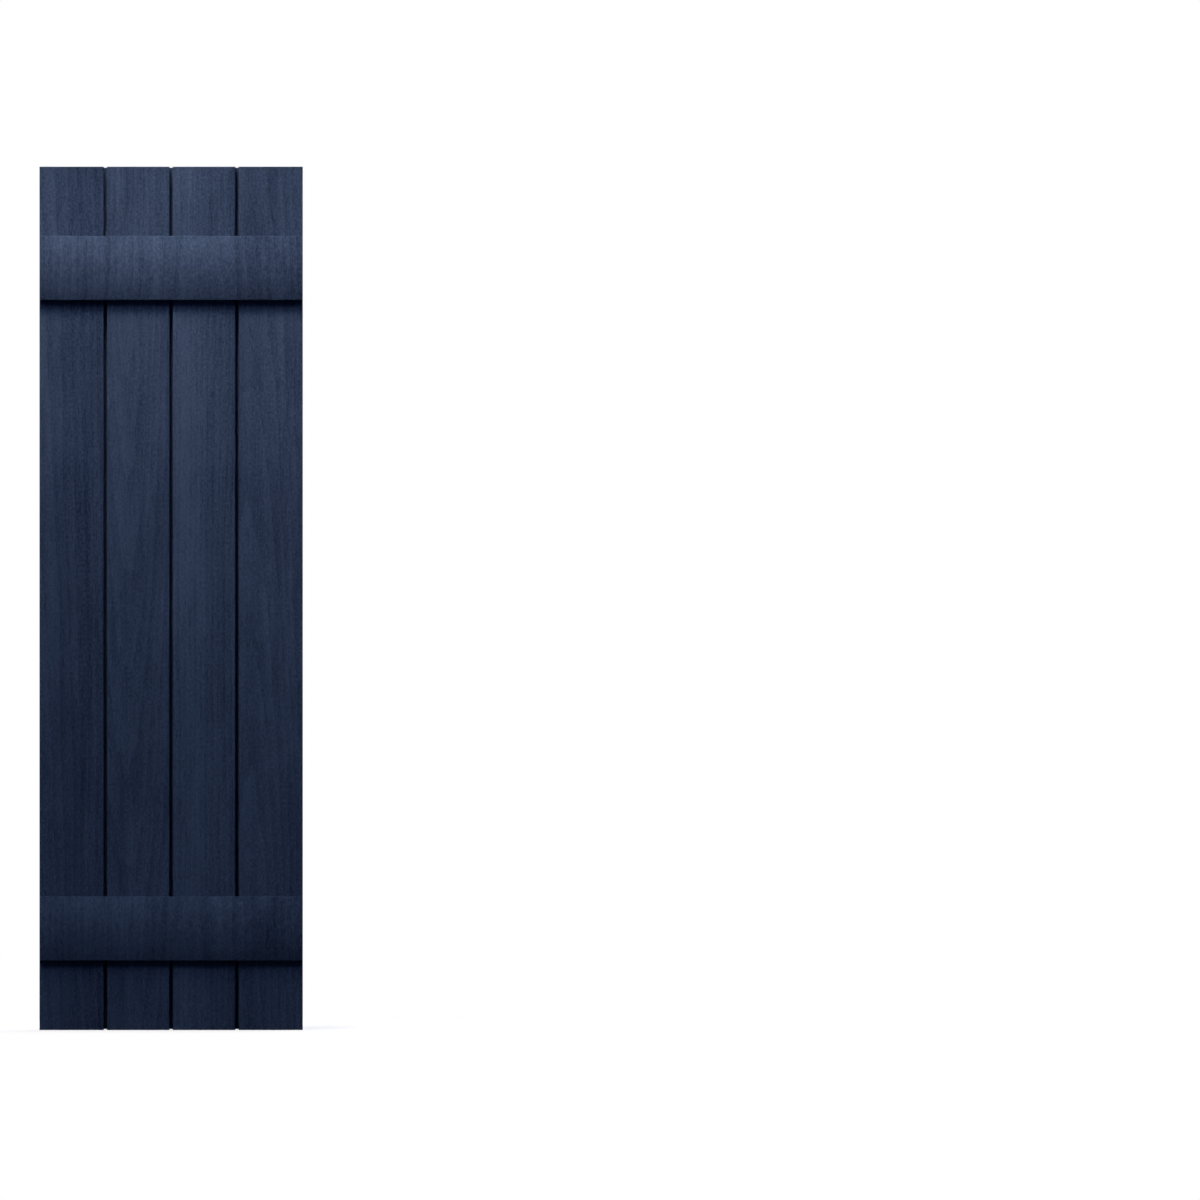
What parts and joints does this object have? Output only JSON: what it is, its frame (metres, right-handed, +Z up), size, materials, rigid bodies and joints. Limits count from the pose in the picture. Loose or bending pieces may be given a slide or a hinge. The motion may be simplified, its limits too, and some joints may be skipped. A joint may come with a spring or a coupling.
{
  "type": "board and batten shutter",
  "caption": "Moulded vinyl board and batten window shutter: upright boards with dark grooves between them, crowned cross battens and a hollow ribbed back that lies flat on a wall.",
  "frame": {"origin": "middle of the shutter's back, on the back face that lies against the wall", "axes": "+Z up along the boards, -Y out of the wall towards the viewer, +X to the right seen from the front"},
  "size_m": [0.3716, 0.0305, 1.219],
  "materials": {
    "board_vinyl": "navy blue, embossed with fine upright wood grain, satin matte",
    "batten_vinyl": "navy blue, embossed with fine upright wood grain, satin matte"
  },
  "bodies": {
    "root": {"board_1": "board_vinyl", "board_2": "board_vinyl", "board_3": "board_vinyl", "board_4": "board_vinyl", "upper_batten": "batten_vinyl", "lower_batten": "batten_vinyl"}
  },
  "joints": []
}
